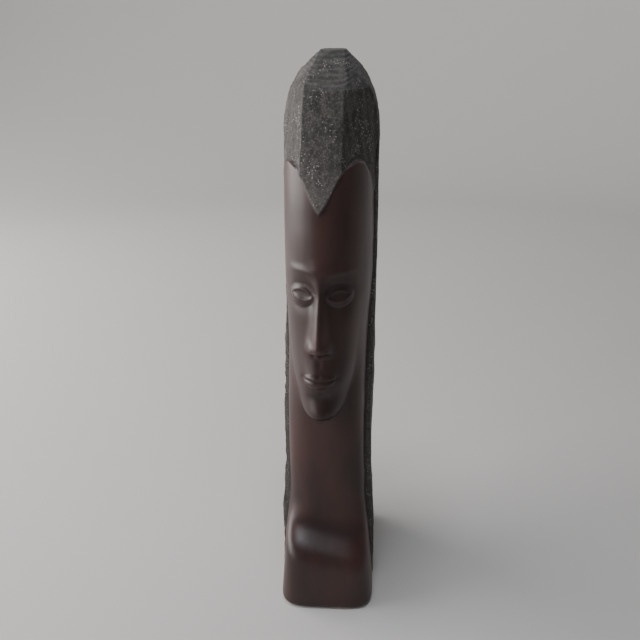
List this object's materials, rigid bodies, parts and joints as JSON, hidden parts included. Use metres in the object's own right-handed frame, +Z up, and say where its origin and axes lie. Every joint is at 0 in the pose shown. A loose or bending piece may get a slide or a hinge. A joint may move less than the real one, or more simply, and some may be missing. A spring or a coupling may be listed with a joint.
{
  "type": "egyptian bust",
  "caption": "Tall narrow bust of an Egyptian-style head on a long neck and square chest block, with rough-cut hair falling as a wall behind; stands as a table ornament.",
  "frame": {"origin": "middle of the flat underside, halfway across and halfway front to back", "axes": "+Z up along the neck and head, -Y the way the face looks, +X to the figure's left side"},
  "size_m": [0.082, 0.15, 0.46],
  "materials": {
    "bust": "satin dark mahogany brown on the face, neck and chest, matt gritty charcoal on the hair"
  },
  "bodies": {
    "root": {"bust": "bust"}
  },
  "joints": []
}
